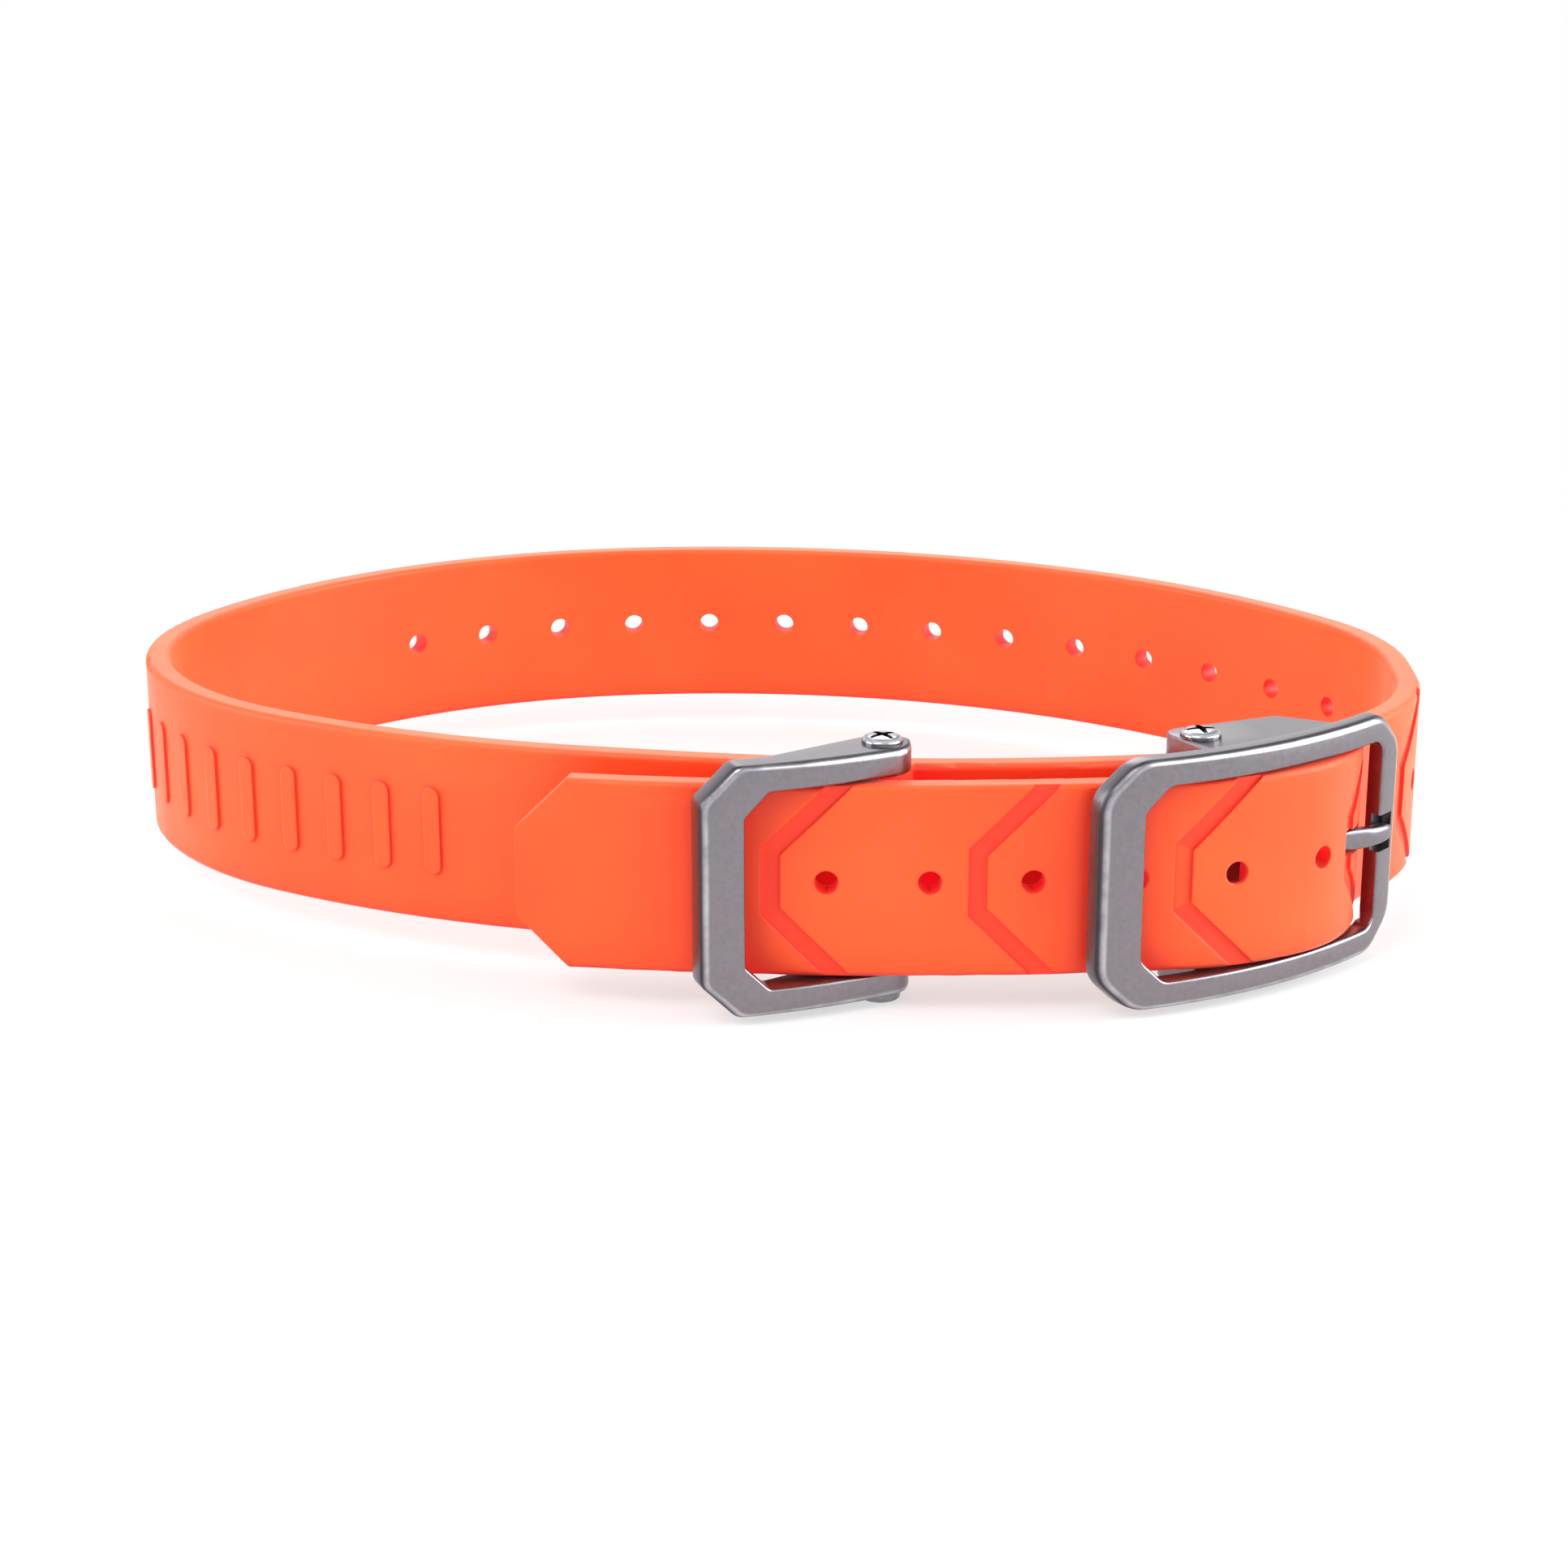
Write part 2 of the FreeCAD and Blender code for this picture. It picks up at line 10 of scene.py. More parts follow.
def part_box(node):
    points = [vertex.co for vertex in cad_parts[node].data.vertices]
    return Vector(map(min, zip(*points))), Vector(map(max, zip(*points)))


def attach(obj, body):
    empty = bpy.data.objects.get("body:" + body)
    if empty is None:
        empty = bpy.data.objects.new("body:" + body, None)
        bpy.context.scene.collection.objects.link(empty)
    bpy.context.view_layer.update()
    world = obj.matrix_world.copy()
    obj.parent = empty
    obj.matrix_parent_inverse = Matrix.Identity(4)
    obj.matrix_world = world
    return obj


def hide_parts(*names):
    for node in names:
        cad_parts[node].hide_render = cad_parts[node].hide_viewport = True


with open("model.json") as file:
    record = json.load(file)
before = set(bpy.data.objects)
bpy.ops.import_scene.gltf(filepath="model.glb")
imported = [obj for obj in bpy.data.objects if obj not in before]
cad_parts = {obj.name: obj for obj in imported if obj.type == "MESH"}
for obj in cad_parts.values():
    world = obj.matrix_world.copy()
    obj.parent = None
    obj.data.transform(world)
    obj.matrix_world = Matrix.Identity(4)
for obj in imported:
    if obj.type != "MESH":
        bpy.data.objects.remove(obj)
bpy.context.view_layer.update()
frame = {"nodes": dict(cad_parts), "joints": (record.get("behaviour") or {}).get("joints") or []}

nodes = frame["nodes"]
MM = 0.001
middle_z = (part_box("strap")[0].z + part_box("strap")[1].z) / 2


# ---- node helpers

# a colour Mix node's sockets, by number
MIX_FACTOR, MIX_A, MIX_B, MIX_RESULT = 0, 6, 7, 2
WHITE = (1.0, 1.0, 1.0, 1.0)


def new_material(name):
    """A material, its tree and its shader node."""
    material = bpy.data.materials.new(name)
    material.use_nodes = True
    tree = material.node_tree
    return material, tree, tree.nodes["Principled BSDF"]


def add(tree, kind, props=None, inputs=None):
    """A node, with its properties set by name and its inputs by name or number."""
    node = tree.nodes.new(kind)
    for key, value in (props or {}).items():
        setattr(node, key, value)
    for key, value in (inputs or {}).items():
        node.inputs[key].default_value = value
    return node


def link(tree, a, out, b, into):
    tree.links.new(a.outputs[out], b.inputs[into])


def object_place(tree):
    """Coordinates on the object; their output is named Object."""
    return add(tree, "ShaderNodeTexCoord")


def attribute(tree, name):
    """A value painted on the mesh; its output is named Fac."""
    return add(tree, "ShaderNodeAttribute", props={"attribute_name": name})


def noise(tree, place, scale, detail=3.0, roughness=0.5):
    node = add(tree, "ShaderNodeTexNoise",
               inputs={"Scale": scale, "Detail": detail, "Roughness": roughness})
    link(tree, place, "Object", node, "Vector")
    return node


def ramp(tree, source, out, stops):
    """A colour ramp: stops are (position, colour)."""
    node = add(tree, "ShaderNodeValToRGB")
    for element, (position, colour) in zip(node.color_ramp.elements, stops, strict=True):
        element.position = position
        element.color = tuple(colour) + (1.0,)
    link(tree, source, out, node, "Fac")
    return node


def spread(tree, source, low, high):
    """A ramp between two colours over the middle range of a noise."""
    return ramp(tree, source, "Fac", [(0.3, low), (0.7, high)])


def grey(level):
    return (level, level, level)


def linear(r, g, b):
    """An sRGB colour out of 255 as linear values."""
    def one(c):
        c /= 255.0
        return c / 12.92 if c <= 0.04045 else ((c + 0.055) / 1.055) ** 2.4
    return (one(r), one(g), one(b))


def mix_colour(tree, factor, out, a, b):
    """A mix of two plain colours or of node outputs given as (node, output)."""
    node = add(tree, "ShaderNodeMix", props={"data_type": "RGBA"})
    link(tree, factor, out, node, MIX_FACTOR)
    for socket, value in ((MIX_A, a), (MIX_B, b)):
        if isinstance(value[0], bpy.types.Node):
            link(tree, *value, node, socket)
        else:
            node.inputs[socket].default_value = tuple(value) + (1.0,)
    return node


def calc(tree, operation, *values):
    """A Math node on plain numbers or on node outputs given as (node, output)."""
    node = add(tree, "ShaderNodeMath", props={"operation": operation})
    for i, value in enumerate(values):
        if isinstance(value, tuple):
            link(tree, *value, node, i)
        else:
            node.inputs[i].default_value = value
    return node


def bump(tree, shader, source, strength, distance, under=None):
    """Fine relief from a noise, on the shader's normal or on that of the node under it."""
    node = add(tree, "ShaderNodeBump", inputs={"Strength": strength, "Distance": distance})
    link(tree, source, "Fac", node, "Height")
    if under is not None:
        link(tree, under, "Normal", node, "Normal")
    link(tree, node, "Normal", shader, "Normal")


def crevice(tree, distance, open_above, shut_below, own_walls=True):
    """1 where the surface is closed in, by its own walls or by anything, and 0 where it is open."""
    node = add(tree, "ShaderNodeAmbientOcclusion",
               props={"samples": 8, "only_local": own_walls}, inputs={"Distance": distance})
    return ramp(tree, node, "AO", [(shut_below, grey(1.0)), (open_above, grey(0.0))])


def blend(tree, output, factor, first, second):
    """The named output node shows a mix of two shaders; all three are (node, output)."""
    mix = add(tree, "ShaderNodeMixShader")
    for socket, source in enumerate((factor, first, second)):
        link(tree, *source, mix, socket)
    link(tree, mix, "Shader", tree.nodes[output], "Surface")


# ---- materials

def layered(tree):
    """1 on upright faces with another layer close in front of them, and 0 elsewhere."""
    closed = crevice(tree, distance=0.009, open_above=0.5, shut_below=0.28, own_walls=False)
    facing = add(tree, "ShaderNodeSeparateXYZ")
    link(tree, add(tree, "ShaderNodeNewGeometry"), "Normal", facing, "Vector")
    slope = calc(tree, "ABSOLUTE", (facing, "Z"))
    upright = calc(tree, "LESS_THAN", (slope, "Value"), 0.5)
    return calc(tree, "MULTIPLY", (closed, "Color"), (upright, "Value"))


def rubber():
    """Moulded orange TPU: satin, a little cloudy, with painted red shade in its grooves and holes and beside
    other parts, a painted red glow in holes and between layers, and soft edges.
    """
    material, tree, shader = new_material("orange_tpu")
    place = object_place(tree)
    cloud = noise(tree, place, scale=45.0, detail=2.0)
    orange = spread(tree, cloud, linear(251, 81, 28), linear(255, 90, 35))

    # painted red shade in the strap's grooves and holes, and where anything stands close to it
    recess_shade = crevice(tree, distance=0.0022, open_above=0.72, shut_below=0.3)
    own_shade_glow = calc(tree, "MAXIMUM", (attribute(tree, "hollow_shade_glow"), "Fac"), (recess_shade, "Color"))
    beside_shade = crevice(tree, distance=0.010, open_above=0.97, shut_below=0.42, own_walls=False)
    near = calc(tree, "MULTIPLY", (beside_shade, "Color"), 0.9)
    red_shade = calc(tree, "MAXIMUM", (own_shade_glow, "Value"), (near, "Value"))
    colour = mix_colour(tree, red_shade, "Value", (orange, "Color"), linear(214, 34, 22))
    link(tree, colour, MIX_RESULT, shader, "Base Color")

    # a weak painted red glow in hollows and between layers, standing in for light that comes through the
    # plastic
    through = calc(tree, "MULTIPLY", (own_shade_glow, "Value"), 0.24)
    between = calc(tree, "MULTIPLY", (layered(tree), "Value"), 0.4)
    light = calc(tree, "MAXIMUM", (through, "Value"), (between, "Value"))
    link(tree, light, "Value", shader, "Emission Strength")
    shader.inputs["Emission Color"].default_value = linear(255, 20, 40) + (1.0,)

    shader.inputs["Sheen Weight"].default_value = 0.38
    shader.inputs["Sheen Roughness"].default_value = 0.34
    shader.inputs["Sheen Tint"].default_value = (1.0, 0.78, 0.55, 1.0)
    shader.inputs["Subsurface Weight"].default_value = 0.25
    shader.inputs["Subsurface Radius"].default_value = (1.0, 0.35, 0.15)
    shader.inputs["Subsurface Scale"].default_value = 0.0012
    shader.inputs["Specular IOR Level"].default_value = 0.35
    gloss = spread(tree, noise(tree, place, scale=160.0), grey(0.42), grey(0.5))
    link(tree, gloss, "Color", shader, "Roughness")

    soft = add(tree, "ShaderNodeBevel", props={"samples": 6}, inputs={"Radius": 0.00045})
    grain = noise(tree, place, scale=2600.0, detail=2.0)
    bump(tree, shader, grain, strength=0.12, distance=0.00003, under=soft)
    return material


def gunmetal():
    """Plated die casting: dark satin metal, fine grained, with a painted highlight over polished wear and a
    painted darker line of shade and reflection at its edges.
    """
    material, tree, shader = new_material("satin_gunmetal")
    place = object_place(tree)
    shader.inputs["Metallic"].default_value = 1.0
    cloud = noise(tree, place, scale=1400.0, roughness=0.6)
    plain_metal = spread(tree, cloud, linear(132, 127, 132), linear(140, 136, 141))
    # painted shade: a darker line along edge roundings, standing in for shade and darker reflections
    shaded = mix_colour(tree, attribute(tree, "painted_dark"), "Fac", (plain_metal, "Color"), linear(62, 60, 66))
    edge_highlight_polish = attribute(tree, "edge_highlight_polish")
    wear = noise(tree, place, scale=420.0, detail=2.0)
    # a painted highlight along edge roundings, broken up by wear noise; the same mask also makes them
    # glossier
    worn_highlight = calc(tree, "MULTIPLY", (edge_highlight_polish, "Fac"), (wear, "Fac"))
    colour = mix_colour(tree, worn_highlight, "Value", (shaded, MIX_RESULT), linear(215, 214, 220))
    link(tree, colour, MIX_RESULT, shader, "Base Color")
    satin = spread(tree, cloud, grey(0.28), grey(0.34))
    gloss = mix_colour(tree, edge_highlight_polish, "Fac", (satin, "Color"), grey(0.2))
    link(tree, gloss, MIX_RESULT, shader, "Roughness")
    grain = noise(tree, place, scale=3500.0, detail=2.0)
    bump(tree, shader, grain, strength=0.12, distance=0.00002)
    return material


def nickel(name, low, high):
    """Plated fasteners between two levels of grey, with painted shade in their recesses and at their turned
    steps.
    """
    material, tree, shader = new_material(name)
    place = object_place(tree)
    shader.inputs["Metallic"].default_value = 1.0
    cloud = noise(tree, place, scale=900.0, detail=2.0)
    plain_metal = spread(tree, cloud, linear(low, low, low + 6), linear(high, high, high + 6))
    recess_shade = crevice(tree, distance=0.0009, open_above=0.9, shut_below=0.4)
    # painted shade in recesses and at turned steps
    share = calc(tree, "MAXIMUM", (attribute(tree, "painted_dark"), "Fac"), (recess_shade, "Color"))
    colour = mix_colour(tree, share, "Value", (plain_metal, "Color"), linear(58, 56, 62))
    link(tree, colour, MIX_RESULT, shader, "Base Color")
    gloss = spread(tree, cloud, grey(0.14), grey(0.22))
    link(tree, gloss, "Color", shader, "Roughness")
    return material


# ---- the strap's hollows, in metres

HOLE_ACROSS = 0.0045     # more than a hole's diameter
GROOVE_WALL = 0.0032     # what is left of the strap behind a groove, at most
NEXT_LAYER = 0.008       # how far behind a hole the next layer may be
# how much painted red shade and glow a hole over another layer, an open hole and a groove get
OVER_LAYER, OPEN_HOLE, GROOVE = 1.0, 0.55, 0.62


def hollow_shade_glow_value(tree, polygon, heights):
    """How much painted red shade and glow a face gets: most in a hole with a layer behind it, less in open
    holes and in grooves.
    """
    centre, normal = polygon.center, polygon.normal
    if abs(normal.z) >= 0.99:
        return 0.0
    lift = normal * 1e-5    # rays start just off the face
    ahead = tree.ray_cast(centre + lift, normal, HOLE_ACROSS)[3]
    behind = tree.ray_cast(centre - lift, -normal, GROOVE_WALL)[3]
    if ahead is not None and max(heights) - min(heights) < HOLE_ACROSS:
        inside = Vector((-centre.x, -centre.y, 0)).normalized()
        past = centre + normal * (ahead / 2) + inside * HOLE_ACROSS
        return OPEN_HOLE if tree.ray_cast(past, inside, NEXT_LAYER)[0] is None else OVER_LAYER
    if behind is not None and behind > GROOVE_WALL * 0.85 and normal.dot(centre) > 0:
        return GROOVE
    return 0.0


def mark_hollow_shade_glow(mesh):
    """The painted shade and glow value of each face, as an attribute; no vertex is touched."""
    points = [v.co.copy() for v in mesh.vertices]
    tree = BVHTree.FromPolygons(points, [tuple(p.vertices) for p in mesh.polygons])
    values = [hollow_shade_glow_value(tree, p, [points[i].z for i in p.vertices]) for p in mesh.polygons]
    mesh.attributes.new("hollow_shade_glow", "FLOAT", "FACE").data.foreach_set("value", values)


def dress(obj, material):
    obj.data.materials.clear()
    obj.data.materials.append(material)


rubber_material = rubber()
metal_material = gunmetal()
bright_material = nickel("bright_fastener", 184, 204)
post_material = nickel("satin_post", 132, 148)
dress(nodes["strap"], rubber_material)
dress(nodes["buckle_pin"], post_material)
dress(nodes["keeper_pin"], post_material)
mark_hollow_shade_glow(nodes["strap"].data)


# ---- places and outlines, in millimetres in a casting's own axes

def joint_place(name):
    """The middle of a joint's pin, halfway up the strap."""
    x, y = [j for j in frame["joints"] if j["name"] == name][0]["pos_m"][:2]
    return Vector((x, y, middle_z))


def along(heading):
    return Vector((math.cos(math.radians(heading)), math.sin(math.radians(heading)), 0.0))


def on_arc(radius, x):
    return math.sqrt(max(radius * radius - x * x, 0.0))


class Place:
    """A curved casting's axes: x along it, y inward, z up, from the centre of its arc."""

    def __init__(self, pin, heading, pin_x, pin_y):
        self.ahead, self.inward = along(heading), along(heading + 90.0)
        self.centre = Vector(pin) - (self.ahead * pin_x + self.inward * pin_y) * MM

    def at(self, x, y, z=0.0):
        return self.centre + (self.ahead * x + self.inward * y) * MM + Vector((0, 0, z * MM))


def round_corners(outline, radius, closed, steps=5):
    """A flat outline with each corner turned by a short arc of the same number of points."""
    count = len(outline)
    points = []
    for i, corner in enumerate(outline):
        corner = Vector(corner)
        if not closed and i in (0, count - 1):
            points.append(corner)
            continue
        back = (Vector(outline[i - 1]) - corner).normalized()
        ahead = (Vector(outline[(i + 1) % count]) - corner).normalized()
        reach = radius / math.tan(back.angle(ahead) / 2)
        start, end = corner + back * reach, corner + ahead * reach
        for k in range(steps + 1):
            t = k / steps
            points.append(start * (1 - t) ** 2 + corner * 2 * t * (1 - t) + end * t * t)
    return points


def walk(outer, inner, closed, longest=1.5):
    """Matching points along two outlines with the same corners, close enough to follow the arc."""
    rows = []
    for i in range(len(outer) if closed else len(outer) - 1):
        j = (i + 1) % len(outer)
        count = max(1, round((outer[j] - outer[i]).length / longest))
        rows += [(outer[i].lerp(outer[j], k / count), inner[i].lerp(inner[j], k / count))
                 for k in range(count)]
    if not closed:
        rows.append((outer[-1], inner[-1]))
    return rows


# ---- meshes

AROUND = 48             # points round a turned piece
SHARP_ANGLE = 35.0      # edges steeper than this stay sharp


def make_object(name, bm):
    """The mesh with its faces turned outward, as an object in the scene."""
    bmesh.ops.recalc_face_normals(bm, faces=bm.faces)
    data = bpy.data.meshes.new(name)
    bm.to_mesh(data)
    bm.free()
    obj = bpy.data.objects.new(name, data)
    bpy.context.scene.collection.objects.link(obj)
    return obj


def apply_modifiers(obj):
    """The evaluated mesh becomes the object's own."""
    bpy.context.view_layer.update()
    depsgraph = bpy.context.evaluated_depsgraph_get()
    data = bpy.data.meshes.new_from_object(obj.evaluated_get(depsgraph))
    obj.modifiers.clear()
    obj.data = data


def boolean(obj, other, operation):
    """The other object is cut from this one or joined to it, and then removed."""
    step = obj.modifiers.new("boolean", "BOOLEAN")
    step.operation = operation
    step.solver = "MANIFOLD"
    step.object = other
    apply_modifiers(obj)
    bpy.data.objects.remove(other)


def smooth(obj):
    """Smooth shading, kept sharp at steep edges."""
    for polygon in obj.data.polygons:
        polygon.use_smooth = True
    obj.data.set_sharp_from_angle(angle=math.radians(SHARP_ANGLE))


def bridge(bm, a, b):
    """Faces between two rings of points, either of which may be a single point."""
    count = max(len(a), len(b))
    for k in range(count):
        m = (k + 1) % count
        corners = [a[k % len(a)], a[m % len(a)], b[m % len(b)], b[k % len(b)]]
        bm.faces.new(list(dict.fromkeys(corners)))


def block(name, plan, low, high):
    """An upright prism on a closed plan, in metres."""
    bm = bmesh.new()
    bottom = [bm.verts.new((p.x, p.y, low)) for p in plan]
    top = [bm.verts.new((p.x, p.y, high)) for p in plan]
    bm.faces.new(bottom[::-1])
    bm.faces.new(top)
    bridge(bm, bottom, top)
    return make_object(name, bm)


def post(name, at, radius, height, chamfer):
    """An upright cylinder about a point, with its rims cut back if there is a chamfer."""
    half = height / 2
    levels = [(-half, radius - chamfer), (half, radius - chamfer)]
    if chamfer:
        levels[1:1] = [(-half + chamfer, radius), (half - chamfer, radius)]
    turns = [math.tau * i / AROUND for i in range(AROUND)]
    bm = bmesh.new()
    rings = [[bm.verts.new(at + Vector((math.cos(a) * r, math.sin(a) * r, z)) * MM) for a in turns]
             for z, r in levels]
    for a, b in zip(rings, rings[1:]):
        bridge(bm, a, b)
    bm.faces.new(rings[0][::-1])
    bm.faces.new(rings[-1])
    return make_object(name, bm)


# ---- curved metal frames with rounded edges

# across each rounding, from one flat to the next: how much painted highlight and polishing, and how much
# painted shade, the metal gets there.
# The rows are the outer front, inner front, inner rear and outer rear edges.
HIGHLIGHT_POLISH = [(0, 0, 0.1, 0.8, 1, 0), (0, 0.15, 0.3, 0.1, 0, 0),
          (0, 0.2, 0.3, 0.3, 0.2, 0), (0, 0.2, 0.3, 0.3, 0.2, 0)]
SHADE = [(0.6, 1, 1, 0.6, 0, 0), (0, 0.3, 0.3, 0.5, 0.3, 0), (0, 0, 0, 0, 0, 0), (0, 0, 0, 0, 0, 0)]
ROUNDINGS = (1.05, 0.5, 0.35, 0.35)
LARGEST_SHARE = 0.45    # a rounding takes no more than this of a side
SAME_POINT = 0.005      # points closer than this become one


def section(wide, recess_shade):
    """A rectangle with rounded corners, from its outer front corner.

    Each point is (share of the width, share of the depth, painted highlight and polishing, painted shade)."""
    steps = len(HIGHLIGHT_POLISH[0]) - 1
    points = []
    for n, (u, v, du, dv) in enumerate([(0, 0, 1, 1), (1, 0, -1, 1), (1, 1, -1, -1), (0, 1, 1, -1)]):
        ru = min(ROUNDINGS[n] / wide, LARGEST_SHARE)
        rv = min(ROUNDINGS[n] / recess_shade, LARGEST_SHARE) if recess_shade > 1e-6 else LARGEST_SHARE
        for k in range(steps + 1):
            turn = math.pi / 2 * (k if n % 2 else steps - k) / steps
            points.append((u + du * ru * (1 - math.sin(turn)), v + dv * rv * (1 - math.cos(turn)),
                           HIGHLIGHT_POLISH[n][k], SHADE[n][k]))
    return points


def frame_mesh(name, place, rows, closed, front, rear):
    """A bent bar: matching outer and inner outlines, carried from a front to a rear curve."""
    bm = bmesh.new()
    edge_highlight_polish = bm.verts.layers.float.new("edge_highlight_polish")
    painted_dark = bm.verts.layers.float.new("painted_dark")
    rings = []
    for outer, inner in rows:
        ring = []
        for u, v, highlight_polish, shade in section((inner - outer).length, rear(outer.x) - front(outer.x)):
            p = outer.lerp(inner, u)
            near, far = front(p.x), rear(p.x)
            vertex = bm.verts.new(place.at(p.x, near + (far - near) * v, p.y))
            # painted highlight and polishing, and painted shade, across each rounding
            vertex[edge_highlight_polish] = highlight_polish
            vertex[painted_dark] = shade
            ring.append(vertex)
        rings.append(ring)
    for a, b in zip(rings, rings[1:] + rings[:1] if closed else rings[1:]):
        bridge(bm, a, b)
    bmesh.ops.remove_doubles(bm, verts=bm.verts, dist=SAME_POINT * MM)
    bmesh.ops.holes_fill(bm, edges=bm.edges, sides=0)
    return make_object(name, bm)


# ---- sizes of the castings, in millimetres

WINDOW_HALF, CASTING_HALF = 13.0, 16.6      # half heights of the window and of the whole
OUTER_CUT, WINDOW_CUT = 4.6, 3.2            # chamfer corners
BUCKLE_HEADING = 32.6
BUCKLE_PIN = (-6.639, -67.160)
BUCKLE_INNER_R, BUCKLE_OUTER_R = 72.3, 75.1
BUCKLE_HALF_LENGTH = 24.95
WINDOW_LEFT, WINDOW_RIGHT = -19.35, 20.65
WINDOW_RIGHT_CUT = 1.3
KNEE_LEAD = 1.0                             # the prong's knee and its notch start this far inside the window
REST_LENGTH = 2.9                           # how far the notch reaches over the right bar


def buckle_place():
    """The middle of the buckle's pin, and the buckle's own axes."""
    pin = joint_place("buckle_rock")
    return pin, Place(pin, BUCKLE_HEADING, *BUCKLE_PIN)


def octagon(left, right, half, cut, right_cut):
    """A rectangle with its corners cut off, from its lower left side."""
    return [(left, cut - half), (left + cut, -half), (right - right_cut, -half), (right, right_cut - half),
            (right, half - right_cut), (right - right_cut, half), (left + cut, half), (left, half - cut)]


def cut_relief(obj, place):
    """The bevel behind the right bar, where the strap turns in."""
    reach, rim = 1.2, 0.3
    y = -on_arc(BUCKLE_INNER_R, WINDOW_RIGHT)
    start, end = WINDOW_RIGHT - reach, WINDOW_RIGHT + reach
    plan = [place.at(start, y - reach * 1.5), place.at(end, y + reach),
            place.at(end, y + 2 * reach), place.at(start, y + 2 * reach)]
    half = (WINDOW_HALF - rim) * MM
    boolean(obj, block("cut", plan, middle_z - half, middle_z + half), "DIFFERENCE")


def cut_notch(obj, place):
    """The notch in the right bar for the prong's tip."""
    depth, half, past_front = 1.5, 2.55 * MM, 4
    floor = BUCKLE_OUTER_R - depth
    start, end = WINDOW_RIGHT - KNEE_LEAD, WINDOW_RIGHT + REST_LENGTH
    start_y, end_y = -on_arc(floor, start), -on_arc(floor, end)
    plan = [place.at(start, start_y), place.at(end, end_y),
            place.at(end, end_y - past_front), place.at(start, start_y - past_front)]
    boolean(obj, block("cut", plan, middle_z - half, middle_z + half), "DIFFERENCE")


def add_lugs(obj, place):
    """The two lugs that hold the pin, one on each long bar, running out along the bar to the right."""
    pin_x, pin_y = BUCKLE_PIN
    left, right = pin_x - 2.8, pin_x + 14.6
    back, right_back = pin_y + 4.8, pin_y + 2.4
    merge = right + 5.0
    bend, bend_steps, root_steps = 2.4, 6, 12
    inset, rounding = 0.03, 0.35            # the inset keeps the union clear of faces in one plane
    root = BUCKLE_INNER_R + (BUCKLE_OUTER_R - BUCKLE_INNER_R) / 2
    turns = [math.radians(90 - 90 / bend_steps * i) for i in range(bend_steps + 1)]
    plan = [(left, -on_arc(root, left))]
    plan += [(left + bend * (1 - math.sin(a)), back - bend * (1 - math.cos(a))) for a in turns]
    plan += [(right, right_back), (merge, -on_arc(root, merge))]
    stations = [merge - (merge - left) * i / root_steps for i in range(1, root_steps)]
    plan += [(x, -on_arc(root, x)) for x in stations]
    for side in (-1, 1):
        low, high = sorted((side * (WINDOW_HALF + inset), side * (CASTING_HALF - inset)))
        lug = block("lug", [place.at(x, y) for x, y in plan], middle_z + low * MM, middle_z + high * MM)
        bevel = lug.modifiers.new("round", "BEVEL")
        bevel.limit_method = "ANGLE"
        bevel.angle_limit = math.radians(20)
        bevel.width = rounding * MM
        bevel.segments = 3
        apply_modifiers(lug)
        boolean(obj, lug, "UNION")


def make_buckle():
    """The buckle's frame: a bent rectangle with a window, a notch for the prong and two lugs."""
    place = buckle_place()[1]
    outer = octagon(-BUCKLE_HALF_LENGTH, BUCKLE_HALF_LENGTH, CASTING_HALF, OUTER_CUT, OUTER_CUT)
    inner = octagon(WINDOW_LEFT, WINDOW_RIGHT, WINDOW_HALF, WINDOW_CUT, WINDOW_RIGHT_CUT)
    outer = round_corners(outer, radius=5.0, closed=True)
    inner = round_corners(inner, radius=2.0, closed=True)
    obj = frame_mesh("buckle_casting", place, walk(outer, inner, closed=True), closed=True,
                     front=lambda x: -on_arc(BUCKLE_OUTER_R, x), rear=lambda x: -on_arc(BUCKLE_INNER_R, x))
    cut_relief(obj, place)
    cut_notch(obj, place)
    add_lugs(obj, place)
    smooth(obj)
    return obj


